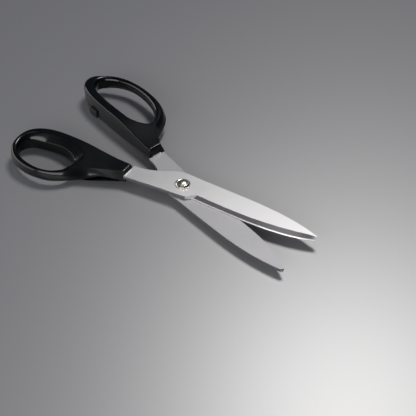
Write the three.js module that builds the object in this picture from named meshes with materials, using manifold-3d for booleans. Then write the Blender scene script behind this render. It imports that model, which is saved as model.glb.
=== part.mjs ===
// Fabric shears: two stainless blades on a screw pivot, each with a moulded handle.
// Millimetres, +Z up. The origin is on the pivot axis, in the plane that the shears lie on.
// +X runs from the pivot to the tips along the middle of the opening, as the shears lie part open.
// Each half is drawn closed, with its blade along +X, and then turned to its place.
import * as THREE from 'three';
import { mergeVertices } from 'three/addons/utils/BufferGeometryUtils.js';
import Module from 'manifold-3d';

// ---- Driving dimensions ----

const bladeLength = 105; // pivot to tip
const bladeThickness = 2.6;
const halfOpening = THREE.MathUtils.degToRad(10.2); // how far each half is turned from closed
const rideHeight = 6.5; // the plane where the blades meet
const rideGap = 0.1; // running clearance between the blades
const pocketGap = 0.15; // clearance of a pressed or moulded-in piece, along its height
const pocketSide = 0.3; // the same, sideways
const layerGap = 0.05; // between stacked pivot pieces

const stemRadius = 3;
const boreRadius = 3.1;
const rideWasher = { radius: 7, bore: 3.3, thickness: 0.5 };
const washerRecess = 0.25; // depth of the washer's seat in each blade
const headWasher = { radius: 5.6, bore: 3.4, thickness: 0.4 };
const head = { radius: 5.1, skirt: 0.5, height: 1.9 };
const nutWasher = { radius: 5.6, bore: 3.4, thickness: 0.5 };
const nut = { acrossFlats: 9, bore: 3.15, height: 2.2 };

// The tang is the tongue of each blade inside its handle. A moulded key fills the hole in it.
const tang = { front: -40.9, end: -69, middle: -8.1, halfWidth: 3.8, keyX: -58, keyRadius: 2.1 };
const keyRadius = tang.keyRadius - pocketSide;
// Where the neck enters the handle. The upper handle is open beside its neck, the lower one closes round it.
const mouth = { back: -41.4, front: -30, top: 3, low: { upper: -16, lower: -14.3 } };

// The pad that the thumb handle closes against, let into the inner wall of the finger handle.
const pad = { middle: -118, length: 9.5, low: 0.8, height: 6, wall: 4.2, proud: 2, sunk: 1.6, corner: 1.6 };

const circleSides = 48;
const cornerSteps = 4; // strips in each rounded corner of a handle's section
const overrun = 1; // how far a cutter runs past the piece it cuts

// ---- Materials ----

const steel = new THREE.MeshStandardMaterial({ color: 0xc9c8c8, roughness: 0.35, metalness: 1 });
const nickel = new THREE.MeshStandardMaterial({ color: 0xd6d0c4, roughness: 0.15, metalness: 1 });
const blackPlastic = new THREE.MeshStandardMaterial({ color: 0x101312, roughness: 0.3, metalness: 0 });
const blackRubber = new THREE.MeshStandardMaterial({ color: 0x0c0d0d, roughness: 0.6, metalness: 0 });
const paleNylon = new THREE.MeshStandardMaterial({ color: 0xe8e6de, roughness: 0.5, metalness: 0 });

// ---- Joining and cutting ----

const wasm = await Module();
wasm.setup();

function toSolid(geometry) {
  const bare = new THREE.BufferGeometry();
  bare.setAttribute('position', geometry.getAttribute('position').clone());
  bare.setIndex(geometry.getIndex());
  const merged = mergeVertices(bare, 1e-4);
  return new wasm.Manifold(new wasm.Mesh({
    numProp: 3,
    vertProperties: new Float32Array(merged.getAttribute('position').array),
    triVerts: new Uint32Array(merged.getIndex().array),
  }));
}

function toGeometry(solid) {
  const mesh = solid.getMesh();
  const geometry = new THREE.BufferGeometry();
  geometry.setAttribute('position', new THREE.BufferAttribute(mesh.vertProperties, 3));
  geometry.setIndex(new THREE.BufferAttribute(mesh.triVerts, 1));
  geometry.computeVertexNormals();
  return geometry;
}

function cut(body, ...cutters) {
  let solid = toSolid(body);
  for (const cutter of cutters) {
    solid = solid.subtract(toSolid(cutter));
  }
  return toGeometry(solid);
}

// ---- Shapes ----

// Joins closed loops of equal length into one surface. It has flat ends, or the last loop meets the first.
function skin(loops, hasEnds) {
  const count = loops[0].length;
  const bands = hasEnds ? loops.length - 1 : loops.length;
  const faces = [];
  for (let band = 0; band < bands; band++) {
    const here = band * count;
    const next = ((band + 1) % loops.length) * count;
    for (let i = 0; i < count; i++) {
      const j = (i + 1) % count;
      faces.push(here + i, here + j, next + j, here + i, next + j, next + i);
    }
  }
  if (hasEnds) {
    const lastLoop = (loops.length - 1) * count;
    for (const [a, b, c] of THREE.ShapeUtils.triangulateShape(loops[0], [])) {
      faces.push(a, c, b);
    }
    for (const [a, b, c] of THREE.ShapeUtils.triangulateShape(loops.at(-1), [])) {
      faces.push(lastLoop + a, lastLoop + b, lastLoop + c);
    }
  }
  const geometry = new THREE.BufferGeometry();
  geometry.setAttribute('position', new THREE.Float32BufferAttribute(
    loops.flat().flatMap((point) => point.toArray()), 3));
  geometry.setIndex(faces);
  return geometry;
}

// A smooth line through [x, y, extra] points in equal steps. The extra number changes smoothly along it.
function smooth(points, steps) {
  const extraScale = 1000; // keeps the extra number from counting as length
  const curve = new THREE.CatmullRomCurve3(
    points.map(([x, y, extra = 0]) => new THREE.Vector3(x, y, extra / extraScale)), false, 'centripetal');
  return curve.getSpacedPoints(steps).map((point) => [point.x, point.y, point.z * extraScale]);
}

function mix(a, b, share) {
  return a.map((value, i) => value + (b[i] - value) * share);
}

// The numbers at one place of a list of [place, number, number...] keys, with soft ramps between keys.
function keyed(keys, place) {
  const next = keys.findIndex(([at]) => at > place);
  if (next === 0) {
    return keys[0].slice(1);
  }
  if (next < 0) {
    return keys.at(-1).slice(1);
  }
  const share = THREE.MathUtils.smoothstep(place, keys[next - 1][0], keys[next][0]);
  return mix(keys[next - 1], keys[next], share).slice(1);
}

// A rise from 0 to 1 as a length goes from 0 to reach.
function ramp(length, reach) {
  return THREE.MathUtils.smoothstep(length, 0, reach);
}

function disc(radius, low, high) {
  const geometry = new THREE.CylinderGeometry(radius, radius, high - low, circleSides);
  geometry.rotateX(Math.PI / 2);
  geometry.translate(0, 0, (low + high) / 2);
  return geometry;
}

// A body turned about Z, from a closed profile of [radius, height] points.
function turned(profile) {
  const points = [...profile, profile[0]].map(([radius, height]) => new THREE.Vector2(radius, height));
  const geometry = new THREE.LatheGeometry(points, circleSides);
  geometry.rotateX(Math.PI / 2);
  return geometry;
}

function washerGeometry({ radius, bore, thickness }) {
  return turned([[bore, 0], [radius, 0], [radius, thickness], [bore, thickness]]);
}

function box(low, high) {
  const size = high.map((value, i) => value - low[i]);
  const geometry = new THREE.BoxGeometry(...size);
  geometry.translate(...low.map((value, i) => value + size[i] / 2));
  return geometry;
}

// ---- Blade: lying on its ride face, with the plane between the blades at z = 0 ----

const neckLow = [[-40.9, -14], [-30, -13.1], [-20, -12.3], [-10, -11.6], [0, -11.2]];
const heelLow = [[8.3, -10.7], [10.4, -9.2]];
const heelTop = [[8.3, -10.4], [11.6, -7.2]];
const edgeLine = [[13.5, -7.7], [40, -8.8], [58, -9.2], [75, -8.5], [88, -6.8], [98, -4.3], [bladeLength, -1.4]];
const bevelLine = [[15, -5], [40, -6.1], [58, -6.1], [75, -4.9], [88, -3.1], [98, -1.2], [bladeLength, -0.2]];
const edgeLand = { share: 0.12, rise: 0.9 }; // the narrow strip next to the cutting edge
const spine = [[bladeLength - 1, 0.8], [94, 4], [80, 7.1], [60, 9.5], [32, 10.7], [10, 11.3], [-5, 11.8],
  [-12, 10], [-18, 6.8], [-25, 3.2], [-32, 0.7], [-40.9, -0.2]];

function tangOutline(grow) {
  const halfWidth = tang.halfWidth + grow;
  const points = [[tang.front, tang.middle + halfWidth]];
  const steps = 10;
  for (let step = 0; step <= steps; step++) {
    const angle = Math.PI / 2 + (step / steps) * Math.PI;
    const x = tang.end + tang.halfWidth + halfWidth * Math.cos(angle);
    points.push([x, tang.middle + halfWidth * Math.sin(angle)]);
  }
  points.push([tang.front, tang.middle - halfWidth]);
  return points;
}

function bladeLoop(height, heel, edge) {
  const outline = [...smooth(neckLow, 8), ...heel, ...edge, ...smooth(spine, 36), ...tangOutline(0)];
  return outline.map(([x, y]) => new THREE.Vector3(x, y, height));
}

function bladeGeometry() {
  const low = rideGap / 2;
  const edge = smooth(edgeLine, 26);
  const bevel = smooth(bevelLine, 26);
  const land = edge.map((point, i) => mix(point, bevel[i], edgeLand.share));
  const heelLand = heelLow.map((point, i) => mix(point, heelTop[i], edgeLand.share));
  const body = skin([
    bladeLoop(low, heelLow, edge),
    bladeLoop(low + edgeLand.rise, heelLand, land),
    bladeLoop(low + bladeThickness, heelTop, bevel),
  ], true);
  const above = low + bladeThickness + overrun;
  const bore = disc(boreRadius, -overrun, above);
  const seat = disc(rideWasher.radius + pocketSide, -overrun, low + washerRecess);
  const keyHole = disc(tang.keyRadius, -overrun, above);
  keyHole.translate(tang.keyX, tang.middle, 0);
  return cut(body, bore, seat, keyHole);
}

// ---- Handle ----

// The inward direction at each point of a closed outline, stretched so that every side moves in equally.
function inwardOf(outline) {
  return outline.map(([x, y], i) => {
    const [beforeX, beforeY] = outline.at(i - 1);
    const [afterX, afterY] = outline[(i + 1) % outline.length];
    const sideBefore = new THREE.Vector2(beforeY - y, x - beforeX).normalize();
    const sideAfter = new THREE.Vector2(y - afterY, afterX - x).normalize();
    const share = 1 + sideBefore.dot(sideAfter);
    return sideBefore.add(sideAfter).divideScalar(share);
  });
}

// A corner of the section, from the wall to the face, as [way in from the wall, way off the face].
// Power 1 is an ellipse, 2 a straight slope, and above 2 the corner is hollow.
function corner([across, deep, power]) {
  const points = [];
  for (let step = 0; step <= cornerSteps; step++) {
    const angle = (step / cornerSteps) * (Math.PI / 2);
    const wayIn = across * (1 - Math.cos(angle) ** power);
    const wayOff = deep * (1 - Math.sin(angle) ** power);
    points.push([wayIn, wayOff]);
  }
  return points;
}

// The section of a handle at one bearing: up the outer wall, over the top, down the hole and back below.
function handleSection(design, bearing, outer, outerIn, rim, rimIn) {
  const place = ([x, y], inward, wayIn) => [x + inward.x * wayIn, y + inward.y * wayIn];
  const above = ([x, y], wayOff) => new THREE.Vector3(x, y, design.top(x, y) - wayOff);
  const below = ([x, y], wayOff) => new THREE.Vector3(x, y, design.bottom(x, y) + wayOff);
  const outerTop = corner(keyed(design.outerTop, bearing));
  const rimTop = corner(keyed(design.rimTop, bearing));
  const outerBottom = corner(keyed(design.outerBottom, bearing));
  const rimBottom = corner(keyed(design.rimBottom, bearing));
  return [
    ...outerTop.map(([wayIn, wayOff]) => above(place(outer, outerIn, wayIn), wayOff)),
    ...rimTop.reverse().map(([wayIn, wayOff]) => above(place(rim, rimIn, wayIn), wayOff)),
    ...rimBottom.map(([wayIn, wayOff]) => below(place(rim, rimIn, wayIn), wayOff)),
    ...outerBottom.reverse().map(([wayIn, wayOff]) => below(place(outer, outerIn, wayIn), wayOff)),
  ];
}

// The outline runs round from one front corner to the other. With each point comes the bearing of the
// hole's point that it faces. The hole's points are a twelfth of a turn apart, from bearing 0.
function handleBody(design) {
  const side = smooth(design.outline, design.steps);
  const front = [side.at(-1), [side[0][0], side[0][1], side[0][2] + 360]];
  const outline = [...side, mix(...front, 1 / 3), mix(...front, 2 / 3)];
  const holeCurve = new THREE.CatmullRomCurve3(
    design.hole.map(([x, y]) => new THREE.Vector3(x, y, 0)), true, 'centripetal');
  const rim = outline.map(([, , bearing]) => {
    const point = holeCurve.getPoint(THREE.MathUtils.euclideanModulo(bearing / 360, 1));
    return [point.x, point.y];
  });
  const outerIn = inwardOf(outline);
  const rimIn = inwardOf(rim).map((direction) => direction.negate());
  const sections = outline.map(([x, y, bearing], i) => handleSection(
    design, bearing, [x, y], outerIn[i], rim[i], rimIn[i]));
  return skin(sections.reverse(), false);
}

// The room for the tang, with the key left standing in it.
function tangPocket(side) {
  const [low, high] = [rideGap / 2 - pocketGap, rideGap / 2 + bladeThickness + pocketGap];
  const loopAt = (height) => tangOutline(pocketSide).map(([x, y]) => new THREE.Vector3(x, y, height));
  const key = disc(keyRadius, low - overrun, high + overrun);
  key.translate(tang.keyX, tang.middle, 0);
  const pocket = toSolid(skin([loopAt(low), loopAt(high)], true)).subtract(toSolid(key));
  const slot = toSolid(box([mouth.back, mouth.low[side], low], [mouth.front, mouth.top, high]));
  const geometry = toGeometry(pocket.add(slot));
  if (side === 'lower') {
    geometry.rotateX(Math.PI);
  }
  geometry.translate(0, 0, rideHeight);
  return geometry;
}

const thumb = {
  steps: 52,
  outline: [[-39.5, -1.4, 20], [-50, -1.5, 26], [-60.8, -1.3, 34], [-77.5, -0.4, 56], [-91, 0, 76],
    [-104.8, 0, 98], [-113.6, -1.1, 112], [-122, -4.3, 130], [-127.4, -9, 148], [-130.2, -15.5, 166],
    [-130.9, -22.5, 184], [-128.6, -31, 206], [-121.2, -38.6, 232], [-111, -42.9, 254], [-100.7, -44.1, 274],
    [-92.5, -43.3, 290], [-85.2, -41, 305], [-78.8, -37, 319], [-73.3, -31.6, 331], [-69.2, -26.6, 339],
    [-65.3, -21.9, 344], [-60, -18, 348], [-53, -15.8, 351], [-45, -14.7, 353], [-39.2, -14.3, 355]],
  hole: [[-78.6, -25.5], [-80.5, -18.5], [-87.5, -13.3], [-98, -11], [-110, -11.4], [-120.3, -14.2],
    [-125.2, -20.5], [-124.3, -28.5], [-116.5, -35.4], [-104.5, -39.2], [-92, -39.3], [-82, -34]],
  // Each key is [bearing, across, deep, power].
  outerTop: [[20, 1.9, 8, 2], [36, 1.4, 3, 1.4], [60, 1.8, 2, 1], [150, 2.4, 3, 1], [215, 2, 4, 1],
    [300, 2.2, 4.6, 1], [325, 3.6, 6, 1.2], [340, 3.6, 8, 2.2], [352, 2.4, 8.2, 2.3], [355, 2.1, 8.2, 2]],
  rimTop: [[-5, 2.2, 3, 1], [12, 4, 4, 1.6], [34, 8, 4.4, 2], [60, 5.8, 4, 2.1], [90, 5, 4.2, 2.1],
    [125, 4.4, 6, 2], [155, 3.6, 4.5, 1.5], [200, 2.2, 2.6, 1], [270, 2.2, 2.4, 1], [355, 2.2, 3, 1]],
  outerBottom: [[20, 0.8, 0.8, 1], [60, 2.4, 3, 1], [200, 2.4, 4, 1], [290, 2.4, 4.2, 1], [335, 2, 2.4, 1],
    [352, 0.8, 0.8, 1]],
  rimBottom: [[0, 3, 3, 1], [90, 3.4, 4, 1], [180, 2.6, 3.4, 1], [270, 2.2, 3.6, 1], [360, 3, 3, 1]],
  top: (x, y) => 12.4 + 2.9 * ramp(-x - 42, 55) - 2.7 * ramp(-y - 10, 32),
  bottom: (x, y) => Math.max(
    3.9 * (1 - ramp(-x - 40, 36)), 3.5 * ramp(-y - 13, 28), 2.6 * ramp(-x - 112, 20)),
};

const finger = {
  steps: 60,
  outline: [[-42, 15.6, 12], [-48, 15.8, 15], [-53, 17.4, 19], [-57, 20.8, 24], [-60.6, 26.4, 30],
    [-65.2, 33.4, 38], [-71.2, 38.6, 48], [-79, 41.9, 60], [-87, 43.8, 72], [-96, 44.7, 84], [-106, 44.9, 97],
    [-116, 44, 110], [-125.4, 41.2, 124], [-132.8, 37.2, 138], [-139, 32, 153], [-143.6, 26.4, 168],
    [-145.7, 20.6, 182], [-144.2, 14.3, 197], [-139.6, 9.3, 212], [-133, 6.3, 227], [-124, 4.6, 242],
    [-113, 3.8, 259], [-100, 3.5, 277], [-87, 3.4, 296], [-74, 3.2, 318], [-62, 2.8, 335], [-51, 2.4, 344],
    [-42, 2.2, 350]],
  hole: [[-68, 20.5], [-71.5, 27.5], [-80.5, 34.3], [-94, 38.3], [-108.5, 39.3], [-122.5, 37.3],
    [-133.8, 30.8], [-137.6, 21.5], [-130, 13.8], [-114, 11.5], [-97, 11.4], [-79, 12.4]],
  outerTop: [[12, 2.4, 7.6, 2], [20, 3, 8, 2.1], [32, 4.6, 6.5, 1.6], [55, 3.4, 4.8, 1.1], [80, 3.1, 4.5, 1],
    [190, 3, 4.4, 1], [225, 1.8, 2.4, 1], [255, 1, 1, 1], [350, 1, 1, 1]],
  rimTop: [[-10, 2.6, 3, 1], [20, 3.2, 4, 1], [60, 3, 4.4, 1], [180, 3, 4.2, 1], [235, 2.4, 2.6, 1],
    [350, 2.4, 2.8, 1]],
  outerBottom: [[12, 0.8, 0.8, 1], [40, 3, 3.8, 1], [190, 3, 4, 1], [250, 2, 2.2, 1], [330, 1.6, 1.8, 1],
    [350, 0.8, 0.8, 1]],
  rimBottom: [[0, 3, 3.4, 1], [180, 3, 4, 1], [270, 2.6, 3, 1], [360, 3, 3.4, 1]],
  top: (x, y) => 12.5 + 3.9 * ramp(-x - 40, 50) - 1.4 * ramp(y - 12, 28),
  bottom: (x, y) => Math.max(
    4.3 * (1 - ramp(-x - 40, 44)), 6 * ramp(y - 12, 26), 5 * ramp(-x - 119, 24)),
};

function thumbHandleGeometry() {
  return cut(handleBody(thumb), tangPocket('upper'));
}

function fingerHandleGeometry() {
  return cut(handleBody(finger), tangPocket('lower'), padGeometry(pocketGap));
}

function padGeometry(grow) {
  const half = pad.length / 2 + grow;
  const top = pad.low + pad.height + grow;
  const bottom = pad.low - grow;
  const radius = pad.corner + grow;
  const shape = new THREE.Shape();
  shape.moveTo(-half, bottom + radius);
  shape.absarc(radius - half, bottom + radius, radius, Math.PI, 1.5 * Math.PI);
  shape.lineTo(half, bottom);
  shape.lineTo(half, top);
  shape.absarc(radius - half, top - radius, radius, 0.5 * Math.PI, Math.PI);
  const depth = pad.proud + pad.sunk + grow;
  const geometry = new THREE.ExtrudeGeometry(shape, { depth, bevelEnabled: false, curveSegments: 5 });
  geometry.rotateX(Math.PI / 2);
  geometry.translate(pad.middle, pad.wall + pad.sunk + grow, 0);
  return geometry;
}

// ---- Pivot, from the head down ----

const bladeTop = rideHeight + rideGap / 2 + bladeThickness;
const bladeBottom = rideHeight - rideGap / 2 - bladeThickness;
const headSeat = bladeTop + headWasher.thickness + 2 * layerGap;

function screwGeometry() {
  const dome = [];
  const steps = 7;
  for (let step = 0; step <= steps; step++) {
    const angle = (step / steps) * (Math.PI / 2);
    const rise = (head.height - head.skirt) * Math.sin(angle);
    dome.push([head.radius * Math.cos(angle), headSeat + head.skirt + rise]);
  }
  dome[steps][0] = 0;
  return turned([[0, 0], [stemRadius, 0], [stemRadius, headSeat], [head.radius, headSeat], ...dome]);
}

function nutGeometry() {
  const outline = new THREE.Shape();
  const sides = 6;
  for (let side = 0; side < sides; side++) {
    const angle = (side / sides) * 2 * Math.PI;
    const reach = nut.acrossFlats / 2 / Math.cos(Math.PI / sides);
    outline[side === 0 ? 'moveTo' : 'lineTo'](reach * Math.cos(angle), reach * Math.sin(angle));
  }
  outline.closePath();
  const bore = disc(nut.bore, -overrun, nut.height + overrun);
  return cut(new THREE.ExtrudeGeometry(outline, { depth: nut.height, bevelEnabled: false }), bore);
}

// ---- Assembly ----

const shears = new THREE.Group();
const upperHalf = new THREE.Group();
const lowerHalf = new THREE.Group();
upperHalf.rotation.z = halfOpening;
lowerHalf.rotation.z = -halfOpening;
shears.add(upperHalf, lowerHalf);

function addPiece(parent, name, geometry, material, height = 0) {
  const mesh = new THREE.Mesh(geometry, material);
  mesh.name = name;
  mesh.position.z = height;
  parent.add(mesh);
  return mesh;
}

addPiece(upperHalf, 'upper_blade', bladeGeometry(), steel, rideHeight);
addPiece(upperHalf, 'thumb_handle', thumbHandleGeometry(), blackPlastic);

const lowerBlade = addPiece(lowerHalf, 'lower_blade', bladeGeometry(), steel, rideHeight);
lowerBlade.rotation.x = Math.PI; // the same blade, turned over
addPiece(lowerHalf, 'finger_handle', fingerHandleGeometry(), blackPlastic);
addPiece(lowerHalf, 'stop_pad', padGeometry(0), blackRubber);

const nutWasherTop = bladeBottom - layerGap;
const nutTop = nutWasherTop - nutWasher.thickness - layerGap;
addPiece(shears, 'pivot_screw', screwGeometry(), nickel);
addPiece(shears, 'head_washer', washerGeometry(headWasher), nickel, bladeTop + layerGap);
addPiece(shears, 'ride_washer', washerGeometry(rideWasher), paleNylon, rideHeight - rideWasher.thickness / 2);
addPiece(shears, 'nut_washer', washerGeometry(nutWasher), steel, nutWasherTop - nutWasher.thickness);
addPiece(shears, 'pivot_nut', nutGeometry(), nickel, nutTop - nut.height);

export default shears;
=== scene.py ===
"""Fabric shears: two satin stainless blades, glossy black moulded handles and a nickel-plated pivot.

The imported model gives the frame, the joint and the washer between the blades. Every other piece is rebuilt
here as a fine mesh of the same shape and size. Shapes are drawn in millimetres, with each half closed and its
blade along +X. When a mesh is finished, it is turned to its place about the pivot.
"""
import math

import bmesh
import bpy
import numpy as np
from mathutils import Matrix, Vector


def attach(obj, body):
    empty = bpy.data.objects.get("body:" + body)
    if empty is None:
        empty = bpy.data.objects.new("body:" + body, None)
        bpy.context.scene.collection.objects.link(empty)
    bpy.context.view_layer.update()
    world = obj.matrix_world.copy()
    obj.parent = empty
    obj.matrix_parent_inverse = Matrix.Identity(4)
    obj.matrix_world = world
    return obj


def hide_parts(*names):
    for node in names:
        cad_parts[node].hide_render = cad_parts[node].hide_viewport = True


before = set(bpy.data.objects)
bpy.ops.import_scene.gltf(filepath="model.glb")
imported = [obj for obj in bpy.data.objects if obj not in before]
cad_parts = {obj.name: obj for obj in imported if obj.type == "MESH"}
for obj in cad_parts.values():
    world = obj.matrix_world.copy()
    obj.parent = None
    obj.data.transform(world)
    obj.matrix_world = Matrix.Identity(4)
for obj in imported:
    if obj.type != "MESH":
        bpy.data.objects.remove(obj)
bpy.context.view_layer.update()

MM = 0.001
HALF_OPENING = math.radians(10.2)  # each half is turned this far from closed
UPPER, LOWER = 1, -1  # the way in which each half is turned

# ---- Sizes shared with the CAD model, in millimetres ----

BLADE_LENGTH = 105
BLADE_THICKNESS = 2.6
RIDE_HEIGHT = 6.5
RIDE_GAP = 0.1
BORE_RADIUS = 3.1
WASHER_SEAT = {"radius": 7.3, "depth": 0.25}
LAYER_GAP = 0.05
BLADE_TOP = RIDE_HEIGHT + RIDE_GAP / 2 + BLADE_THICKNESS
BLADE_BOTTOM = RIDE_HEIGHT - RIDE_GAP / 2 - BLADE_THICKNESS

HEAD_WASHER = {"radius": 5.6, "bore": 3.4, "thickness": 0.4}
NUT_WASHER = {"radius": 5.6, "bore": 3.4, "thickness": 0.5}
NUT = {"across_flats": 9, "bore": 3.15, "height": 2.2, "chamfer": 0.5, "face_inset": 0.25, "cone_deg": 60,
       "lead_in": 0.2}
STEM_RADIUS = 3

TANG = {"front": -40.9, "end": -69, "middle": -8.1, "half_width": 3.8, "key_x": -58, "key_radius": 2.1}
# The room for the neck where it enters a handle. Only the upper handle is open beside the neck.
MOUTH = {"front": -30, "top": 3, "side": {UPPER: -16, LOWER: -14.1}}
PAD = {
    "middle": -118, "length": 9.5, "low": 0.8, "height": 6, "corner": 1.6,
    "wall": 4.2, "proud": 2, "sunk": 1.6, "rounding": 0.6}
SEAM = 0.07  # the fine gap where one piece is let into another


# ---- Lines ----

def along(points):
    """The distance travelled along a line, at each of its points."""
    steps = np.linalg.norm(np.diff(points, axis=0), axis=1)
    return np.concatenate([[0], np.cumsum(steps)])


def at(places, travelled, points):
    """The points at some places along a line."""
    return np.stack([np.interp(places, travelled, column) for column in points.T], axis=1)


def catmull(points, closed=False, steps=24):
    """A centripetal Catmull-Rom line through points, whose columns after the first two go along with it."""
    points = np.asarray(points, float)
    if closed:
        padded = np.concatenate([points[-1:], points, points[:2]])
    else:
        padded = np.concatenate([2 * points[:1] - points[1:2], points, 2 * points[-1:] - points[-2:-1]])
    t = np.linspace(0, 1, steps, endpoint=False)[:, None]
    line = []
    for p0, p1, p2, p3 in zip(padded, padded[1:], padded[2:], padded[3:]):
        before, here, after = (math.dist(a[:2], b[:2]) ** 0.5 for a, b in ((p0, p1), (p1, p2), (p2, p3)))
        leave = ((p1 - p0) / before - (p2 - p0) / (before + here) + (p2 - p1) / here) * here
        arrive = ((p2 - p1) / here - (p3 - p1) / (here + after) + (p3 - p2) / after) * here
        line.append(p1 + t * leave + t ** 2 * (3 * (p2 - p1) - 2 * leave - arrive)
                    + t ** 3 * (2 * (p1 - p2) + leave + arrive))
    if not closed:
        line.append(points[-1:])
    return np.concatenate(line)


def smooth(points, count):
    """A smooth line through the points, as evenly spaced points."""
    line = catmull(points)
    travelled = along(line[:, :2])
    return at(np.linspace(0, travelled[-1], count + 1), travelled, line)


def soften(line, reach, spacing, closed=True):
    """A line of evenly spaced points with its turns rounded by a Gaussian; an open line keeps its ends."""
    count = int(math.ceil(3 * reach / spacing))
    weights = np.exp(-0.5 * (np.arange(-count, count + 1) * spacing / reach) ** 2)
    weights /= weights.sum()
    if closed:
        padded = np.concatenate([line[-count:], line, line[:count]])
    else:
        padded = np.concatenate([2 * line[0] - line[count:0:-1], line, 2 * line[-1] - line[-2:-count - 2:-1]])
    return np.stack([np.convolve(column, weights, mode="valid") for column in padded.T], axis=1)


def left_of(line):
    """The unit direction to the left of a closed line, at each of its points."""
    ahead = np.roll(line, -1, axis=0) - np.roll(line, 1, axis=0)
    ahead /= np.linalg.norm(ahead, axis=1)[:, None]
    return np.stack([-ahead[:, 1], ahead[:, 0]], axis=1)


def mitred(line, most=1.8):
    """The way in at each point of a closed line, stretched so that all its sides move in equally."""
    sides = np.roll(line, -1, axis=0) - line
    sides /= np.linalg.norm(sides, axis=1)[:, None]
    after = np.stack([-sides[:, 1], sides[:, 0]], axis=1)
    before = np.roll(after, 1, axis=0)
    share = 1 + (before * after).sum(axis=1)
    inward = (before + after) / np.maximum(share, 0.2)[:, None]  # no division by nothing at a hairpin
    length = np.linalg.norm(inward, axis=1)
    return inward * (np.minimum(length, most) / length)[:, None]


def ramp(length, reach):
    """A soft rise from 0 to 1 as a length goes from 0 to reach."""
    share = np.clip(np.asarray(length) / reach, 0, 1)
    return share * share * (3 - 2 * share)


# ---- Meshes ----

TURNED_SIDES = 144  # round the screw, the nut and the washers
ROUNDING_LOOPS = 6  # over a rounded edge of a blade or the pad


def mesh_object(name, points, faces):
    """An object from millimetre points, with doubled points merged and its faces turned outwards."""
    mesh = bpy.data.meshes.new(name)
    mesh.from_pydata((np.asarray(points, float).reshape(-1, 3) * MM).tolist(), [], faces)
    bm = bmesh.new()
    bm.from_mesh(mesh)
    bmesh.ops.remove_doubles(bm, verts=bm.verts, dist=1e-7)
    bmesh.ops.recalc_face_normals(bm, faces=bm.faces)
    bm.to_mesh(mesh)
    bm.free()
    obj = bpy.data.objects.new(name, mesh)
    bpy.context.scene.collection.objects.link(obj)
    return obj


def skin(name, loops, has_ends=True):
    """A surface over closed loops of equal length. It has flat ends, or the last loop meets the first."""
    bands, count = len(loops), len(loops[0])
    faces = []
    for band in range(bands - 1 if has_ends else bands):
        here = band * count
        there = (band + 1) % bands * count
        for i in range(count):
            j = (i + 1) % count
            faces.append((here + i, here + j, there + j, there + i))
    if has_ends:
        faces.append(tuple(reversed(range(count))))
        faces.append(tuple(range((bands - 1) * count, bands * count)))
    return mesh_object(name, loops, faces)


def level(line, height):
    """A flat line as a loop at one height."""
    return np.column_stack([line, np.full(len(line), float(height))])


def ring(radius, sides=96, x=0, y=0):
    """The points of a circle."""
    angles = np.arange(sides) * 2 * math.pi / sides
    return np.stack([x + radius * np.cos(angles), y + radius * np.sin(angles)], axis=1)


def disc(radius, low, high, x=0, y=0):
    """An upright cylinder between two heights."""
    line = ring(radius, x=x, y=y)
    return skin("disc", [level(line, low), level(line, high)])


def turned(name, profile):
    """A ring-shaped body turned about Z from the closed line of its (radius, height) points."""
    return skin(name, [level(ring(radius, TURNED_SIDES), height) for radius, height in profile], False)


def apply_modifiers(obj):
    """Makes the result of an object's modifiers its own mesh."""
    made = bpy.data.meshes.new_from_object(obj.evaluated_get(bpy.context.evaluated_depsgraph_get()))
    obj.modifiers.clear()
    obj.data = made


def cut(obj, *cutters):
    """Takes the cutters away from a body and deletes them."""
    for cutter in cutters:
        modifier = obj.modifiers.new("cut", "BOOLEAN")
        modifier.operation = "DIFFERENCE"
        modifier.solver = "EXACT"
        modifier.object = cutter
    apply_modifiers(obj)
    for cutter in cutters:
        bpy.data.objects.remove(cutter)
    return obj


def finish_piece(obj, material, body, node, half=0, sharp=30):
    """Turns a piece to its place, gives it its material and shading, and ties it to the CAD model."""
    obj.name = node + "_look"
    obj.data.transform(Matrix.Rotation(half * HALF_OPENING, 4, "Z"))
    obj.data.materials.clear()
    obj.data.materials.append(material)
    obj.data.shade_smooth()
    obj.data.set_sharp_from_angle(angle=math.radians(sharp))
    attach(obj, body)
    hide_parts(node)
    return obj


# ---- Materials ----

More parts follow.
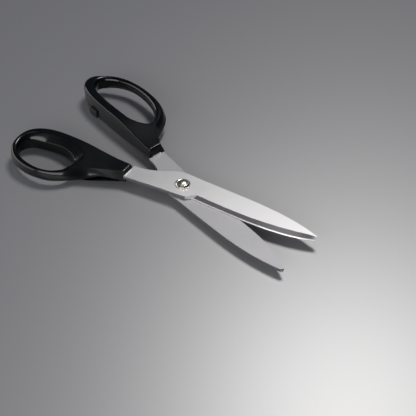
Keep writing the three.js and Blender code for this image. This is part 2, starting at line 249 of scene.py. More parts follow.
class Nodes:
    """A new material and short ways to add nodes to it."""

    def __init__(self, name):
        self.material = bpy.data.materials.new(name)
        self.material.use_nodes = True
        self.tree = self.material.node_tree
        self.shader = self.tree.nodes["Principled BSDF"]

    def add(self, kind, inputs=None, **settings):
        node = self.tree.nodes.new(kind)
        for name, value in settings.items():
            setattr(node, name, value)
        for name, value in (inputs or {}).items():
            self.set(node.inputs[name], value)
        return node

    def set(self, socket, value):
        if isinstance(value, bpy.types.NodeSocket):
            self.tree.links.new(value, socket)
        else:
            socket.default_value = value

    def place(self, turn_deg=0, scale=(1, 1, 1)):
        """Places on the piece in metres, turned about Z and then scaled."""
        coordinates = self.add("ShaderNodeTexCoord").outputs["Object"]
        turned_back = self.add("ShaderNodeMapping", {
            "Vector": coordinates, "Rotation": (0, 0, math.radians(turn_deg))}).outputs["Vector"]
        return self.add("ShaderNodeMapping", {"Vector": turned_back, "Scale": scale}).outputs["Vector"]

    def noise(self, size_mm, place=None, *, detail, roughness=0.55):
        """Noise whose lumps are about size_mm across."""
        return self.add("ShaderNodeTexNoise", {
            "Vector": place or self.place(), "Scale": 1 / (size_mm * MM), "Detail": detail,
            "Roughness": roughness}).outputs["Fac"]

    def remap(self, value, low, high, out_low, out_high):
        return self.add("ShaderNodeMapRange", {
            "Value": value, "From Min": low, "From Max": high, "To Min": out_low,
            "To Max": out_high}).outputs["Result"]

    def math(self, operation, *values):
        node = self.add("ShaderNodeMath", operation=operation)
        for socket, value in zip(node.inputs, values):
            self.set(socket, value)
        return node.outputs["Value"]

    def mix(self, share, first, second):
        node = self.add("ShaderNodeMix", data_type="RGBA")
        self.set(node.inputs["Factor"], share)
        self.set(node.inputs[6], first)
        self.set(node.inputs[7], second)
        return node.outputs[2]

    def bump(self, height, distance_mm, strength):
        return self.add("ShaderNodeBump", {
            "Height": height, "Distance": distance_mm * MM, "Strength": strength}).outputs["Normal"]

    def finish(self, **sockets):
        """Sets the shader's sockets, named with _ for each space, and gives back the material."""
        names = {name.replace("_", " "): value for name, value in sockets.items()}
        for name, value in names.items():
            self.set(self.shader.inputs[name], value)
        return self.material


def plastic_material():
    """Glossy black moulded plastic: a faint orange peel and slight rubbing from use."""
    nodes = Nodes("black_plastic")
    rubbed = nodes.noise(9, detail=4)
    grain = nodes.noise(0.35, detail=2)
    peel = nodes.noise(1.8, detail=1)
    height = nodes.math("ADD", nodes.math("MULTIPLY", peel, 0.8), nodes.math("MULTIPLY", grain, 0.2))
    return nodes.finish(
        Base_Color=nodes.mix(rubbed, (0.0003, 0.0008, 0.0006, 1), (0.0010, 0.0016, 0.0013, 1)),
        Roughness=nodes.remap(rubbed, 0.3, 0.7, 0.30, 0.38),
        IOR=1.25,
        Coat_Weight=0.8,
        Coat_Roughness=0.11,
        Coat_IOR=1.45,
        Normal=nodes.bump(height, 0.006, 0.5))


def rubber_material():
    """Matt black rubber with a little dust on it."""
    nodes = Nodes("black_rubber")
    dust = nodes.noise(1.5, detail=4)
    grain = nodes.noise(0.18, detail=2)
    return nodes.finish(
        Base_Color=nodes.mix(dust, (0.008, 0.009, 0.009, 1), (0.017, 0.017, 0.016, 1)),
        Roughness=nodes.remap(dust, 0.3, 0.7, 0.5, 0.66),
        IOR=1.5,
        Normal=nodes.bump(grain, 0.03, 0.6))


def steel_material(name, turn_deg, ride_side):
    """Satin stainless steel, ground across the blade. The bevel and the sides carry painted shade: they are
    coloured darker than the flat for how they face the light. The land beside the cutting edge is polished,
    and it is coloured near white as a painted highlight, which also paints a thin glint along each rounded
    edge. The ride face, on ride_side (1 above, -1 below), is duller.
    """
    nodes = Nodes(name)
    streaks = nodes.noise(1, nodes.place(turn_deg, (9, 0.22, 1)), detail=4)
    fine_streaks = nodes.noise(1, nodes.place(turn_deg, (30, 0.6, 4)), detail=2)
    cloud = nodes.noise(22, detail=3)
    facing = nodes.add("ShaderNodeSeparateXYZ", {
        "Vector": nodes.add("ShaderNodeTexCoord").outputs["Normal"]}).outputs["Z"]
    slope = nodes.math("ABSOLUTE", facing)  # 1 on the flats, 0 on upright sides
    flatness = nodes.remap(slope, 0.86, 0.97, 0, 1)
    riding = nodes.remap(nodes.math("MULTIPLY", facing, ride_side), 0.9, 0.97, 0, 1)
    outer_colour = nodes.mix(cloud, (0.66, 0.655, 0.66, 1), (0.74, 0.735, 0.735, 1))
    ride_colour = nodes.mix(cloud, (0.46, 0.455, 0.47, 1), (0.52, 0.515, 0.53, 1))
    flat_colour = nodes.mix(riding, outer_colour, ride_colour)
    not_upright = nodes.remap(slope, 0.1, 0.2, 0, 1)
    # Painted highlight: the polished land beside the cutting edge is coloured near white, and so is a thin
    # strip of every rounded edge, as a painted glint.
    land_and_edge_glint = nodes.math("MULTIPLY", nodes.remap(slope, 0.42, 0.5, 1, 0), not_upright)
    # Painted shade: the bevel and the upright sides are coloured darker than the flat, for how they face the
    # light.
    bevel_and_sides_shade_colour = nodes.mix(streaks, (0.24, 0.23, 0.25, 1), (0.34, 0.33, 0.35, 1))
    sides_shade_and_glint_colour = nodes.mix(land_and_edge_glint, bevel_and_sides_shade_colour, (0.95, 0.93, 0.88, 1))
    streaked = nodes.remap(streaks, 0.3, 0.7, 0.43, 0.50)
    satin = nodes.math("ADD", streaked, nodes.remap(cloud, 0.3, 0.7, -0.02, 0.03))
    dulled = nodes.math("ADD", satin, nodes.math("MULTIPLY", riding, 0.1))
    roughness = nodes.math("SUBTRACT", dulled, nodes.math("MULTIPLY", land_and_edge_glint, 0.15))
    return nodes.finish(
        Base_Color=nodes.mix(flatness, sides_shade_and_glint_colour, flat_colour),
        Metallic=1.0,
        Roughness=roughness,
        Normal=nodes.bump(nodes.math("ADD", fine_streaks, streaks), 0.003, 0.5))


def washer_steel_material():
    """Bare spring steel with rolling marks."""
    nodes = Nodes("washer_steel")
    marks = nodes.noise(0.5, detail=5)
    return nodes.finish(
        Base_Color=nodes.mix(marks, (0.42, 0.42, 0.43, 1), (0.58, 0.58, 0.59, 1)),
        Metallic=1.0,
        Roughness=nodes.remap(marks, 0.3, 0.7, 0.28, 0.45),
        Normal=nodes.bump(marks, 0.01, 0.4))


def nickel_material():
    """Polished nickel plate with fine handling marks."""
    nodes = Nodes("nickel_plate")
    marks = nodes.noise(0.8, detail=6, roughness=0.65)
    tarnish = nodes.noise(3, detail=3)
    return nodes.finish(
        Base_Color=nodes.mix(tarnish, (0.70, 0.66, 0.57, 1), (0.82, 0.79, 0.71, 1)),
        Metallic=1.0,
        Roughness=nodes.remap(marks, 0.3, 0.7, 0.20, 0.32),
        Normal=nodes.bump(marks, 0.001, 0.2))


def nylon_material():
    """Pale nylon, slightly scuffed."""
    nodes = Nodes("pale_nylon")
    marks = nodes.noise(0.6, detail=4)
    return nodes.finish(
        Base_Color=nodes.mix(marks, (0.62, 0.60, 0.54, 1), (0.72, 0.70, 0.65, 1)),
        Roughness=nodes.remap(marks, 0.3, 0.7, 0.42, 0.55),
        Subsurface_Weight=0.1,
        Normal=nodes.bump(marks, 0.01, 0.4))


def floor_material():
    """A plain satin grey."""
    nodes = Nodes("floor")
    return nodes.finish(
        Base_Color=(0.24, 0.24, 0.252, 1),
        IOR=3.2,
        Roughness=0.42)


# ---- Blades: lying on the ride face, with the plane between the blades at height 0 ----

NECK_LOW = [[-40.9, -14], [-30, -13.1], [-20, -12.3], [-10, -11.6], [0, -11.2]]
HEEL_LOW = [[8.3, -10.7], [10.4, -9.2]]
HEEL_TOP = [[8.3, -10.4], [11.6, -7.2]]
EDGE = [[13.5, -7.7], [40, -8.8], [58, -9.2], [75, -8.5], [88, -6.8], [98, -4.3], [BLADE_LENGTH, -1.4]]
BEVEL = [[15, -5], [40, -6.1], [58, -6.1], [75, -4.9], [88, -3.1], [98, -1.2], [BLADE_LENGTH, -0.2]]
SPINE = [[BLADE_LENGTH - 1, 0.8], [94, 4], [80, 7.1], [60, 9.5], [32, 10.7], [10, 11.3], [-5, 11.8],
         [-12, 10], [-18, 6.8], [-25, 3.2], [-32, 0.7], [-40.9, -0.2]]
EDGE_LAND = {"share": 0.12, "rise": 0.9}  # the narrow strip next to the cutting edge
BLADE_ROUND = 0.22  # radius along the spine and the neck
FLAT_MARGIN = 0.3  # a strip of flat beside each rounded edge, which keeps the shading of the flat even
NECK_STEPS, EDGE_STEPS, SPINE_STEPS = 36, 110, 170  # how finely each of these lines is divided


def tang_line(grow):
    """The outline of the tang from its upper front corner round to the lower one, grown all round."""
    half_width = TANG["half_width"] + grow
    angles = np.linspace(math.pi / 2, 3 * math.pi / 2, 25)
    round_end = np.stack([TANG["end"] + TANG["half_width"] + half_width * np.cos(angles),
                          TANG["middle"] + half_width * np.sin(angles)], axis=1)
    front = [[TANG["front"], TANG["middle"] + half_width], [TANG["front"], TANG["middle"] - half_width]]
    return np.concatenate([front[:1], round_end, front[1:]])


def blade_mesh(name, half):
    """A blade with its neck and tang. The lower one is the upper one turned over."""
    low = RIDE_GAP / 2
    high = low + BLADE_THICKNESS
    edge = smooth(EDGE, EDGE_STEPS)
    bevel = smooth(BEVEL, EDGE_STEPS)
    land_and_edge_glint = edge + (bevel - edge) * EDGE_LAND["share"]
    heel_low, heel_top = np.array(HEEL_LOW), np.array(HEEL_TOP)
    heel_land = heel_low + (heel_top - heel_low) * EDGE_LAND["share"]
    before = smooth(NECK_LOW, NECK_STEPS)
    after = np.concatenate([smooth(SPINE, SPINE_STEPS), tang_line(0)])

    def outline(heel, edge_line):
        return np.concatenate([before, heel, edge_line, after])

    ground = len(heel_low) + len(edge)
    rounded = np.concatenate([np.ones(len(before)), np.zeros(ground), np.ones(len(after))])[:, None]
    lowest, middle, top = outline(heel_low, edge), outline(heel_land, land_and_edge_glint), outline(heel_top, bevel)
    loops = [level(lowest + mitred(lowest) * (BLADE_ROUND * rounded + FLAT_MARGIN), low)]
    turns = np.radians(np.linspace(0, 90, ROUNDING_LOOPS))
    for turn in turns:
        inset = BLADE_ROUND * (1 - math.sin(turn)) * rounded
        lift = BLADE_ROUND * (1 - math.cos(turn)) * rounded[:, 0]
        loops.append(np.column_stack([lowest + mitred(lowest) * inset, low + lift]))
    loops.append(level(middle, low + EDGE_LAND["rise"]))
    for turn in turns[::-1]:
        inset = BLADE_ROUND * (1 - math.sin(turn)) * rounded
        drop = BLADE_ROUND * (1 - math.cos(turn)) * rounded[:, 0]
        loops.append(np.column_stack([top + mitred(top) * inset, high - drop]))
    loops.append(level(top + mitred(top) * (BLADE_ROUND * rounded + FLAT_MARGIN), high))
    blade = skin(name, loops)
    cut(blade, disc(BORE_RADIUS, -1, high + 1), disc(WASHER_SEAT["radius"], -1, low + WASHER_SEAT["depth"]),
        disc(TANG["key_radius"], -1, high + 1, TANG["key_x"], TANG["middle"]))
    if half == LOWER:
        blade.data.transform(Matrix.Rotation(math.pi, 4, "X"))
    blade.data.transform(Matrix.Translation((0, 0, RIDE_HEIGHT * MM)))
    return blade


# ---- Handles ----
# The outline runs round from one front corner to the other. With each point comes the bearing, in degrees, of
# the hole's point that it faces. The hole's points are a twelfth of a turn apart, from bearing 0.
# A corner key is (bearing, across, deep, power): power 1 rounds the corner, 2 is a straight slope, and above
# 2 is hollow.

THUMB = {
    "outline": [
        [-39.5, -1.4, 20], [-50, -1.5, 26], [-60.8, -1.3, 34], [-77.5, -0.4, 56], [-91, 0, 76],
        [-104.8, 0, 98], [-113.6, -1.1, 112], [-122, -4.3, 130], [-127.4, -9, 148],
        [-130.2, -15.5, 166], [-130.9, -22.5, 184], [-128.6, -31, 206], [-121.2, -38.6, 232],
        [-111, -42.9, 254], [-100.7, -44.1, 274], [-92.5, -43.3, 290], [-85.2, -41, 305],
        [-78.8, -37, 319], [-73.3, -31.6, 331], [-69.2, -26.6, 339], [-65.3, -21.9, 344],
        [-60, -18, 348], [-53, -15.8, 351], [-45, -14.7, 353], [-39.2, -14.3, 355]],
    "hole": [
        [-78.6, -25.5], [-80.5, -18.5], [-87.5, -13.3], [-98, -11], [-110, -11.4], [-120.3, -14.2],
        [-125.2, -20.5], [-124.3, -28.5], [-116.5, -35.4], [-104.5, -39.2], [-92, -39.3], [-82, -34]],
    "outer_top": [
        (20, 1.9, 8, 2), (36, 1.4, 3, 1.4), (60, 1.8, 2, 1), (150, 2.4, 3, 1), (215, 2, 4, 1),
        (300, 2.2, 4.6, 1), (325, 3.6, 6, 1.2), (340, 3.6, 8, 2.2), (352, 2.4, 8.2, 2.3),
        (355, 2.1, 8.2, 2)],
    "rim_top": [
        (12, 4, 4, 1.6), (34, 8, 4.4, 2), (60, 5.8, 4, 2.1), (90, 5, 4.2, 2.1), (125, 4.4, 6, 2),
        (155, 3.6, 4.5, 1.5), (200, 2.2, 2.6, 1), (270, 2.2, 2.4, 1), (355, 2.2, 3, 1)],
    "outer_bottom": [
        (20, 0.8, 0.8, 1), (60, 2.4, 3, 1), (200, 2.4, 4, 1), (290, 2.4, 4.2, 1), (335, 2, 2.4, 1),
        (352, 0.8, 0.8, 1)],
    "rim_bottom": [(0, 3, 3, 1), (90, 3.4, 4, 1), (180, 2.6, 3.4, 1), (270, 2.2, 3.6, 1)],
    "top": lambda x, y: 12.4 + 2.9 * ramp(-x - 42, 55) - 2.7 * ramp(-y - 10, 32),
    "bottom": lambda x, y: np.maximum.reduce([
        3.9 * (1 - ramp(-x - 40, 36)), 3.5 * ramp(-y - 13, 28), 2.6 * ramp(-x - 112, 20)]),
}

FINGER = {
    "outline": [
        [-42, 15.6, 12], [-48, 15.8, 15], [-53, 17.4, 19], [-57, 20.8, 24], [-60.6, 26.4, 30],
        [-65.2, 33.4, 38], [-71.2, 38.6, 48], [-79, 41.9, 60], [-87, 43.8, 72], [-96, 44.7, 84],
        [-106, 44.9, 97], [-116, 44, 110], [-125.4, 41.2, 124], [-132.8, 37.2, 138], [-139, 32, 153],
        [-143.6, 26.4, 168], [-145.7, 20.6, 182], [-144.2, 14.3, 197], [-139.6, 9.3, 212],
        [-133, 6.3, 227], [-124, 4.6, 242], [-113, 3.8, 259], [-100, 3.5, 277], [-87, 3.4, 296],
        [-74, 3.2, 318], [-62, 2.8, 335], [-51, 2.4, 344], [-42, 2.2, 350]],
    "hole": [
        [-68, 20.5], [-71.5, 27.5], [-80.5, 34.3], [-94, 38.3], [-108.5, 39.3], [-122.5, 37.3],
        [-133.8, 30.8], [-137.6, 21.5], [-130, 13.8], [-114, 11.5], [-97, 11.4], [-79, 12.4]],
    "outer_top": [
        (12, 2.4, 7.6, 2), (20, 3, 8, 2.1), (32, 4.6, 6.5, 1.6), (55, 3.4, 4.8, 1.1), (80, 3.1, 4.5, 1),
        (190, 3, 4.4, 1), (225, 1.8, 2.4, 1), (255, 1, 1, 1), (350, 1, 1, 1)],
    "rim_top": [
        (20, 3.2, 4, 1), (60, 3, 4.4, 1), (180, 3, 4.2, 1), (235, 2.4, 2.6, 1), (350, 2.4, 2.8, 1)],
    "outer_bottom": [
        (12, 0.8, 0.8, 1), (40, 3, 3.8, 1), (190, 3, 4, 1), (250, 2, 2.2, 1), (330, 1.6, 1.8, 1),
        (350, 0.8, 0.8, 1)],
    "rim_bottom": [(0, 3, 3.4, 1), (180, 3, 4, 1), (270, 2.6, 3, 1)],
    "top": lambda x, y: 12.5 + 3.9 * ramp(-x - 40, 50) - 1.4 * ramp(y - 12, 28),
    "bottom": lambda x, y: np.maximum.reduce([
        4.3 * (1 - ramp(-x - 40, 44)), 6 * ramp(y - 12, 26), 5 * ramp(-x - 119, 24)]),
}

OUTLINE_SPACING = 0.25
OUTLINE_THINNING = 4  # away from the front corners only every fourth point is kept
CORNER_REACH = 4  # how far from a front corner its mitre is felt
CORNER_SKEW = 2  # in points: nearer than this to a front corner, the outline gives a false way in ...
CORNER_CLEAR = 3  # ... which is replaced by the one this many points from the corner
FRONT_ROUND = 0.4  # softness of the upright front corners
SIDE_SOFTNESS = 2.5  # evens out the bends along the sides
KEY_SOFTNESS = 5  # evens out the change of the section along the handle
SECTION_SPACING = 0.12
CORNER_POINTS, STRAIGHT_POINTS = 40, 30  # of each part of a section, before its points are spaced evenly
EDGE_SOFTNESS = 0.25  # softness of the edges in the section
HOLE_SOFTNESS = 6  # evens out the bends of the hole's line, in steps along it
# Faces along a section: outer corner, top, hole corner, hole wall, lower hole corner, bottom, lower outer
# corner, outer wall.
SECTION_FACES = (16, 10, 16, 6, 12, 6, 12, 6)


def corner_widths(keys, bearings):
    """(across, deep, power) of a corner at each bearing, repeating every full turn."""
    keys = np.array(keys, float)
    turns = np.concatenate([keys + [shift, 0, 0, 0] for shift in (-360, 0, 360)])
    widths = at(bearings, turns[:, 0], turns[:, 1:])
    return soften(widths, KEY_SOFTNESS, OUTLINE_SPACING)


def corner_line(point, inward, widths, height, sign):
    """A corner of a section, from the wall to the face that it turns to."""
    across, deep, power = widths
    angles = np.linspace(0, math.pi / 2, CORNER_POINTS)
    way_in = across * (1 - np.abs(np.cos(angles)) ** power)
    way_off = deep * (1 - np.sin(angles) ** power)
    flat = point + inward * way_in[:, None]
    return np.column_stack([flat, height(flat[:, 0], flat[:, 1]) - sign * way_off])


def straight(start, end, height=None):
    """A line between two points, or over a face if its height is given."""
    line = start + (end - start) * np.linspace(0, 1, STRAIGHT_POINTS)[:, None]
    if height:
        line[:, 2] = height(line[:, 0], line[:, 1])
    return line


def section(design, outer, outer_in, rim, rim_in, widths):
    """One ring of a handle: over the top, down the hole, back below and up the outer wall."""
    top, bottom = design["top"], design["bottom"]
    outer_top = corner_line(outer, outer_in, widths[0], top, 1)
    rim_top = corner_line(rim, rim_in, widths[1], top, 1)[::-1]
    rim_bottom = corner_line(rim, rim_in, widths[2], bottom, -1)
    outer_bottom = corner_line(outer, outer_in, widths[3], bottom, -1)[::-1]
    parts = [
        outer_top, straight(outer_top[-1], rim_top[0], top), rim_top, straight(rim_top[-1], rim_bottom[0]),
        rim_bottom, straight(rim_bottom[-1], outer_bottom[0], bottom), outer_bottom,
        straight(outer_bottom[-1], outer_top[0])]
    lengths = [along(part)[-1] for part in parts]
    total = sum(lengths)
    line = np.concatenate(parts)
    count = round(total / SECTION_SPACING)
    even = at(np.arange(count) * total / count, along(line), line)
    soft = soften(even, EDGE_SOFTNESS, total / count)
    soft = np.concatenate([soft, soft[:1]])
    places = []
    start = 0
    for length, faces in zip(lengths, SECTION_FACES):
        places.append(start + length * (0.5 - 0.5 * np.cos(np.arange(faces) * math.pi / faces)))
        start += length
    return at(np.concatenate(places), np.linspace(0, total, count + 1), soft)


def straight_steps(start, end, count):
    return start + (end - start) * np.linspace(0, 1, count + 1)[:, None]


def steps_past(corner, count):
    """How many points each point of a closed line lies past one of them, below zero for those before it."""
    return (np.arange(count) - corner + count / 2) % count - count / 2


def ways_in(outline, corners):
    """The way in at each point of a handle's outline. Near a front corner it turns to that corner's mitre."""
    count = len(outline)
    inward = left_of(outline)
    for corner in corners:
        past = steps_past(corner, count)[:, None]
        mitre = mitred(outline)[corner]
        before, after = inward[corner - CORNER_CLEAR], inward[(corner + CORNER_CLEAR) % count]
        inward = np.where(np.abs(past) < CORNER_SKEW, np.where(past < 0, before, after), inward)
        share = np.clip(np.abs(past) * OUTLINE_SPACING / CORNER_REACH, 0, 1)
        inward = inward * share + mitre * (1 - share)
    return inward


def outline_of(design):
    """A handle's closed outline with the bearing of each point, and where its two front corners are in it."""
    side = catmull(design["outline"])
    travelled = along(side[:, :2])
    side_count = round(travelled[-1] / OUTLINE_SPACING)
    side = at(np.linspace(0, travelled[-1], side_count + 1), travelled, side)
    side = soften(side, SIDE_SOFTNESS, OUTLINE_SPACING, closed=False)
    full_turn = [0, 0, 360]
    front_count = round(math.dist(side[-1, :2], side[0, :2]) / OUTLINE_SPACING)
    front = straight_steps(side[-1], side[0] + full_turn, front_count)
    line = np.concatenate([side, front[1:-1]])
    return line[:, :2], line[:, 2], (0, side_count)


def handle_mesh(name, design):
    """A handle: sections from the outline to the hole, all the way round."""
    outline, bearings, corners = outline_of(design)
    outer_in = ways_in(outline, corners)
    outline = soften(outline, FRONT_ROUND, OUTLINE_SPACING)

    hole = soften(catmull(design["hole"], closed=True), HOLE_SOFTNESS, 1)
    hole_in = -left_of(hole)
    hole_places = np.arange(len(hole) + 1) * 360 / len(hole)
    rim = at(bearings % 360, hole_places, np.concatenate([hole, hole[:1]]))
    rim_in = at(bearings % 360, hole_places, np.concatenate([hole_in, hole_in[:1]]))
    widths = [corner_widths(design[corner], bearings)
              for corner in ("outer_top", "rim_top", "rim_bottom", "outer_bottom")]

    count = len(outline)
    kept = np.arange(count) % OUTLINE_THINNING == 0
    for corner in corners:
        kept |= np.abs(steps_past(corner, count)) * OUTLINE_SPACING < CORNER_REACH
    rings = [section(design, outline[i], outer_in[i], rim[i], rim_in[i], [w[i] for w in widths])
             for i in np.flatnonzero(kept)]
    return skin(name, rings, False)


def block(low, high):
    """A box between two opposite corners."""
    (x0, y0, z0), (x1, y1, z1) = low, high
    loop = np.array([[x0, y0], [x1, y0], [x1, y1], [x0, y1]])
    return skin("block", [level(loop, z0), level(loop, z1)])


def cut_tang_room(handle, half):
    """Lets the blade's neck and tang into a handle. The moulded key stays standing in the tang's hole."""
    low, high = RIDE_GAP / 2 - SEAM, RIDE_GAP / 2 + BLADE_THICKNESS + SEAM
    line = tang_line(SEAM)
    room = skin("room", [level(line, low), level(line, high)])
    cut(room, disc(TANG["key_radius"] - SEAM, low - 1, high + 1, TANG["key_x"], TANG["middle"]))
    mouth = block((TANG["front"] - SEAM, MOUTH["side"][half], low), (MOUTH["front"], MOUTH["top"], high))
    for cutter in (room, mouth):
        if half == LOWER:
            cutter.data.transform(Matrix.Rotation(math.pi, 4, "X"))
        cutter.data.transform(Matrix.Translation((0, 0, RIDE_HEIGHT * MM)))
    return cut(handle, room, mouth)


def pad_line(grow):
    """The pad's outline seen from the other handle, as (x, height)."""
    half = PAD["length"] / 2 + grow
    low, high = PAD["low"] - grow, PAD["low"] + PAD["height"] + grow
    radius = PAD["corner"] + grow
    angles = np.linspace(0, math.pi / 2, 9)[:, None]
    across, up = radius * np.cos(angles), radius * np.sin(angles)
    lower_end = np.concatenate([-half + radius - across, low + radius - up], 1)
    upper_end = np.concatenate([-half + radius - up, high - radius + across], 1)
    line = np.concatenate([lower_end, [[half, low], [half, high]], upper_end])
    return line + [PAD["middle"], 0]


def pad_mesh(name, grow, rounding):
    """The pad, or the room for it, standing out of the wall towards -Y."""
    line = pad_line(grow)
    back = PAD["wall"] + PAD["sunk"] + grow
    front = PAD["wall"] - PAD["proud"]
    loops = [(line, back)]
    for turn in np.radians(np.linspace(0, 90, ROUNDING_LOOPS)):
        inset = mitred(line) * rounding * (1 - math.cos(turn))
        loops.append((line + inset, front + rounding * (1 - math.sin(turn))))
    return skin(name, [np.column_stack([loop[:, 0], np.full(len(loop), y), loop[:, 1]]) for loop, y in loops])


# ---- Pivot ----

def washer_mesh(name, sizes, low, rounding=0.12):
    """A flat washer with slightly rounded edges, standing on height low."""
    inner, outer, high = sizes["bore"], sizes["radius"], low + sizes["thickness"]
    corners = ((outer - rounding, low + rounding, -90), (outer - rounding, high - rounding, 0),
               (inner + rounding, high - rounding, 90), (inner + rounding, low + rounding, 180))
    profile = []
    for radius, height, first in corners:
        for turn in np.radians(np.linspace(first, first + 90, 5)):
            profile.append((radius + rounding * math.cos(turn), height + rounding * math.sin(turn)))
    return turned(name, profile)


HEAD_SEAT = BLADE_TOP + HEAD_WASHER["thickness"] + 2 * LAYER_GAP
# (radius, height above the seat) from the rim of the head to its middle: a sloping skirt, a round shoulder,
# a shallow groove and a low dome.
HEAD_PROFILE = [
    [5.0, 0], [5.1, 0.12], [5.1, 0.3], [4.95, 0.5], [4.55, 0.86], [4.25, 1.13], [3.95, 1.27], [3.65, 1.27],
    [3.4, 1.2], [3.2, 1.21], [2.9, 1.38], [2.4, 1.6], [1.6, 1.8], [0.8, 1.88], [0.02, 1.9]]
HEAD_STEPS = 60  # how finely the head's profile is divided
THREAD = {"pitch": 0.8, "depth": 0.28, "top": 3.4, "rows": 60, "chamfer": 0.5}


def uneven_ring(radius, height):
    """A level loop of TURNED_SIDES points whose radius differs from point to point."""
    angles = np.arange(TURNED_SIDES) * 2 * math.pi / TURNED_SIDES
    return level(np.stack([radius * np.cos(angles), radius * np.sin(angles)], axis=1), height)


def screw_mesh(name):
    """The pivot screw, with a helical thread at its lower end."""
    turns = np.arange(TURNED_SIDES) / TURNED_SIDES
    loops = []
    for height in np.linspace(0, THREAD["top"], THREAD["rows"]):
        wave = np.abs(2 * ((height / THREAD["pitch"] - turns) % 1) - 1)
        fade = float(ramp(THREAD["top"] - height, THREAD["pitch"]))
        radius = STEM_RADIUS - THREAD["depth"] * wave * fade
        loops.append(uneven_ring(np.minimum(radius, STEM_RADIUS - THREAD["chamfer"] + height), height))
    loops.append(level(ring(STEM_RADIUS, TURNED_SIDES), HEAD_SEAT))
    for radius, height in smooth(HEAD_PROFILE, HEAD_STEPS):
        loops.append(level(ring(radius, TURNED_SIDES), HEAD_SEAT + max(height, 0)))
    return skin(name, loops)


def nut_mesh(name, low):
    """A hexagon nut whose corners are turned off to a cone at both ends, standing on height low."""
    angles = np.arange(TURNED_SIDES) * 2 * math.pi / TURNED_SIDES
    flat, bore, high, lead_in = NUT["across_flats"] / 2, NUT["bore"], NUT["height"], NUT["lead_in"]
    sixth = math.pi / 3
    hexagon = flat / np.cos(angles % sixth - sixth / 2)
    slope = math.tan(math.radians(NUT["cone_deg"]))
    lower_rise = np.linspace(0, NUT["chamfer"], 9)
    upper_rise = np.linspace(high - NUT["chamfer"], high, 9)
    loops = []
    for height in np.concatenate([lower_rise, upper_rise]):
        cone = flat - NUT["face_inset"] + min(height, high - height) * slope
        loops.append(uneven_ring(np.minimum(hexagon, cone), low + height))
    bore_line = ((bore + lead_in, high), (bore, high - lead_in), (bore, lead_in), (bore + lead_in, 0))
    for radius, height in bore_line:
        loops.append(level(ring(radius, TURNED_SIDES), low + height))
    return skin(name, loops, False)


# ---- Camera, floor and light ----

CAMERA = {
    "place": (0.36187, -0.38623, 0.45006), "down_deg": 41.2, "turn_deg": 41.21, "lens": 85, "sensor": 36}
VIEW_RIGHT = Vector((0.752, 0.659, 0))  # along the floor, to the right as seen from the camera
VIEW_AWAY = Vector((-0.659, 0.752, 0))  # along the floor, away from the camera
FLOOR_HEIGHT = -0.02
FLOOR_REACH = 4000
WORLD = {"colour": (0.55, 0.65, 1.0, 1), "strength": 0.05}


def build_camera():
    camera = bpy.data.cameras.new("camera")
    camera.lens = CAMERA["lens"]
    camera.sensor_width = CAMERA["sensor"]
    camera.clip_start = 0.01
    camera.clip_end = 20
    obj = bpy.data.objects.new("camera", camera)
    obj.location = CAMERA["place"]
    obj.rotation_euler = (math.radians(90 - CAMERA["down_deg"]), 0, math.radians(CAMERA["turn_deg"]))
    bpy.context.scene.collection.objects.link(obj)
    bpy.context.scene.camera = obj


def camera_ground(right, away, up):
    """A place given as seen from the camera: metres to the right, away and up from the pivot."""
    return VIEW_RIGHT * right + VIEW_AWAY * away + Vector((0, 0, up))


def build_floor():
    corners = np.array([[-1, -1], [1, -1], [1, 1], [-1, 1]]) * FLOOR_REACH
    floor = mesh_object("floor", level(corners, FLOOR_HEIGHT), [(0, 1, 2, 3)])
    floor.data.materials.append(floor_material())


def area_light(name, place, size, power, colour):
    """A rectangular light aimed at the pivot. Its place and size are in metres, its power in watts."""
    light = bpy.data.lights.new(name, "AREA")
    light.shape = "RECTANGLE"
    light.size, light.size_y = size
    light.energy = power
    light.color = colour
    obj = bpy.data.objects.new(name, light)
    obj.location = place
    obj.rotation_euler = (-place).to_track_quat("-Z", "Y").to_euler()
    bpy.context.scene.collection.objects.link(obj)


def build_light():
    """A key light behind, a weak light above, and two low bright cards that the black handles mirror."""
    area_light("back_softbox", camera_ground(0.285, 0.584, 1.126), (0.42, 0.36), 6.2, (1, 0.985, 0.965))
    area_light("top_softbox", camera_ground(-0.15, -0.1, 1.3), (0.5, 0.5), 0.8, (1, 0.99, 0.98))
    area_light("front_card", camera_ground(-0.3, -1.0, 0.42), (1.4, 0.5), 8.0, (0.99, 0.995, 1))
    area_light("left_card", camera_ground(-0.98, 0.1, 0.22), (1.5, 0.38), 3.6, (1, 0.99, 0.95))
    world = bpy.data.worlds.new("world")
    world.use_nodes = True
    background = world.node_tree.nodes["Background"]
    background.inputs["Color"].default_value = WORLD["colour"]
    background.inputs["Strength"].default_value = WORLD["strength"]
    bpy.context.scene.world = world
    bpy.context.scene.view_settings.view_transform = "Standard"


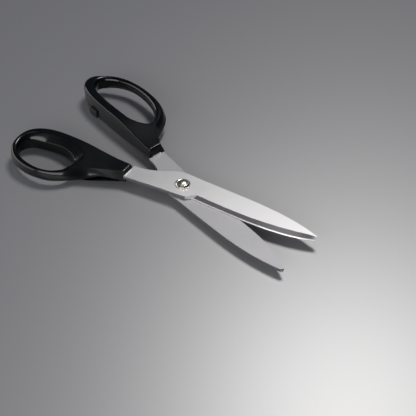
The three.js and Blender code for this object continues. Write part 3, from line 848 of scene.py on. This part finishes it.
# ---- Assembly ----

# Edges that turn by more than this stay sharp.
BLADE_SHARP_DEG = 17
CURVED_SHARP_DEG = 40


def build_blades():
    turn_deg = math.degrees(HALF_OPENING)
    upper_steel = steel_material("upper_blade_steel", -turn_deg, -1)
    lower_steel = steel_material("lower_blade_steel", turn_deg, 1)
    upper, lower = blade_mesh("upper", UPPER), blade_mesh("lower", LOWER)
    finish_piece(upper, upper_steel, "thumb_half", "upper_blade", UPPER, BLADE_SHARP_DEG)
    finish_piece(lower, lower_steel, "finger_half", "lower_blade", LOWER, BLADE_SHARP_DEG)


def build_handles():
    plastic = plastic_material()
    thumb = cut_tang_room(handle_mesh("thumb", THUMB), UPPER)
    finish_piece(thumb, plastic, "thumb_half", "thumb_handle", UPPER, CURVED_SHARP_DEG)
    finger = cut_tang_room(handle_mesh("finger", FINGER), LOWER)
    cut(finger, pad_mesh("room", SEAM, 0))
    finish_piece(finger, plastic, "finger_half", "finger_handle", LOWER, CURVED_SHARP_DEG)
    pad = pad_mesh("pad", 0, PAD["rounding"])
    finish_piece(pad, rubber_material(), "finger_half", "stop_pad", LOWER)


def build_pivot():
    nickel = nickel_material()
    screw = screw_mesh("screw")
    finish_piece(screw, nickel, "finger_half", "pivot_screw", sharp=CURVED_SHARP_DEG)
    head_washer = washer_mesh("washer", HEAD_WASHER, BLADE_TOP + LAYER_GAP)
    finish_piece(head_washer, nickel, "finger_half", "head_washer")
    washer_low = BLADE_BOTTOM - LAYER_GAP - NUT_WASHER["thickness"]
    nut_washer = washer_mesh("washer", NUT_WASHER, washer_low)
    finish_piece(nut_washer, washer_steel_material(), "finger_half", "nut_washer")
    nut_low = washer_low - LAYER_GAP - NUT["height"]
    finish_piece(nut_mesh("nut", nut_low), nickel, "finger_half", "pivot_nut")

    ride_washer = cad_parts["ride_washer"].data  # this piece stays as it is in the CAD model
    ride_washer.materials.clear()
    ride_washer.materials.append(nylon_material())


build_camera()
build_floor()
build_light()
build_blades()
build_handles()
build_pivot()
